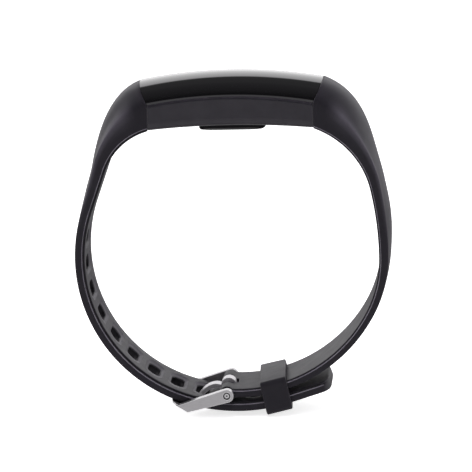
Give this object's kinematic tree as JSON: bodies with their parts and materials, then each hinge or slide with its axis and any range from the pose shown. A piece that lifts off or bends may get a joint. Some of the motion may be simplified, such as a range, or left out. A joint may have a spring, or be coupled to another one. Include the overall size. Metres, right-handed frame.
{
  "type": "fitness tracker band",
  "caption": "Buckled fitness tracker wristband: crowned glossy lens on a slim case, soft hooded straps with slot holes, steel tang buckle, tongue and sliding keeper.",
  "frame": {"origin": "middle of the small flat on the sensor window, where the case rests on the wrist", "axes": "+Z out of the wrist through the lens, +X along the case towards the buckle strap, Y across the band"},
  "size_m": [0.0713, 0.0198, 0.0776],
  "materials": {
    "strap_rubber": "matt moulded silicone, fine-grained",
    "case_plastic": "matt moulded plastic with a soft sheen",
    "lens_gloss": "polished glossy black cover",
    "sensor_gloss": "polished dark window",
    "steel": "satin with polished bevels",
    "steel_pin": "turned",
    "spring_steel": "drawn wire",
    "gold": "plated",
    "board_green": "solder mask",
    "chip_black": "moulded",
    "carrier_plastic": "moulded",
    "foil_silver": "pouch foil",
    "wire_red": "insulated wire",
    "display_black": "polished",
    "flex_amber": "polyimide film",
    "lamp_green": "clear resin",
    "diode_dark": "resin",
    "tungsten": "sintered",
    "seal_rubber": "soft adhesive seal"
  },
  "bodies": {
    "band": {"case_shell": "case_plastic", "lens_gasket": "seal_rubber", "top_lens": "lens_gloss", "sensor_window": "sensor_gloss", "battery_cell": "foil_silver", "battery_wires": "wire_red", "main_board": "board_green", "mcu_chip": "chip_black", "accelerometer_chip": "chip_black", "antenna_strip": "gold", "inner_frame": "carrier_plastic", "frame_screws": "steel_pin", "display_panel": "display_black", "display_flex": "flex_amber", "touch_electrode": "flex_amber", "vibration_motor_can": "foil_silver", "sensor_board": "board_green", "green_leds": "lamp_green", "photodiode": "diode_dark", "sensor_light_baffle": "chip_black", "charging_pins": "gold", "strap_insert_left": "carrier_plastic", "strap_insert_right": "carrier_plastic", "tail_strap": "strap_rubber", "buckle_strap": "strap_rubber", "spring_bar_tube_left": "steel_pin", "spring_bar_spring_left": "spring_steel", "spring_bar_tube_right": "steel_pin", "spring_bar_spring_right": "spring_steel", "buckle_bar_tube": "steel_pin", "buckle_bar_spring": "spring_steel"},
    "buckle_frame": {"buckle_frame": "steel"},
    "buckle_tongue": {"buckle_tongue": "steel"},
    "keeper": {"keeper_loop": "strap_rubber"},
    "motor_rotor": {"vibration_motor_shaft": "steel_pin", "vibration_motor_weight": "tungsten"},
    "spring_bar_tip_left_near": {"spring_bar_tip_left_near": "steel_pin"},
    "spring_bar_tip_left_far": {"spring_bar_tip_left_far": "steel_pin"},
    "spring_bar_tip_right_near": {"spring_bar_tip_right_near": "steel_pin"},
    "spring_bar_tip_right_far": {"spring_bar_tip_right_far": "steel_pin"},
    "buckle_bar_tip_near": {"buckle_bar_tip_near": "steel_pin"},
    "buckle_bar_tip_far": {"buckle_bar_tip_far": "steel_pin"}
  },
  "joints": [
    {"name": "buckle_frame_swing", "type": "hinge", "parent": "band", "child": "buckle_frame", "pos_m": [-0.00265, 0, -0.05955], "axis": [0, -1, 0], "range_deg": [0, 3]},
    {"name": "tongue_swing", "type": "hinge", "parent": "buckle_frame", "child": "buckle_tongue", "pos_m": [-0.00265, 0, -0.05955], "axis": [0, -1, 0], "range_deg": [0, 2]},
    {"name": "keeper_slide", "type": "hinge", "parent": "band", "child": "keeper", "pos_m": [0, 0, -0.0254], "axis": [0, -1, 0], "range_deg": [-7.5, 1.5]},
    {"name": "motor_spin", "type": "hinge", "parent": "band", "child": "motor_rotor", "pos_m": [0.0106, 0, 0.0056], "axis": [0, 1, 0], "continuous": true},
    {"name": "spring_bar_tip_left_near_push", "type": "slide", "parent": "band", "child": "spring_bar_tip_left_near", "axis": [0, 1, 0], "range_m": [0, 0.0013], "deforming": ["spring_bar_spring_left"]},
    {"name": "spring_bar_tip_left_far_push", "type": "slide", "parent": "band", "child": "spring_bar_tip_left_far", "axis": [0, -1, 0], "range_m": [0, 0.0013]},
    {"name": "spring_bar_tip_right_near_push", "type": "slide", "parent": "band", "child": "spring_bar_tip_right_near", "axis": [0, 1, 0], "range_m": [0, 0.0013], "deforming": ["spring_bar_spring_right"]},
    {"name": "spring_bar_tip_right_far_push", "type": "slide", "parent": "band", "child": "spring_bar_tip_right_far", "axis": [0, -1, 0], "range_m": [0, 0.0013]},
    {"name": "buckle_bar_tip_near_push", "type": "slide", "parent": "band", "child": "buckle_bar_tip_near", "axis": [0, 1, 0], "range_m": [0, 0.00145], "deforming": ["buckle_bar_spring"]},
    {"name": "buckle_bar_tip_far_push", "type": "slide", "parent": "band", "child": "buckle_bar_tip_far", "axis": [0, -1, 0], "range_m": [0, 0.00145]}
  ]
}
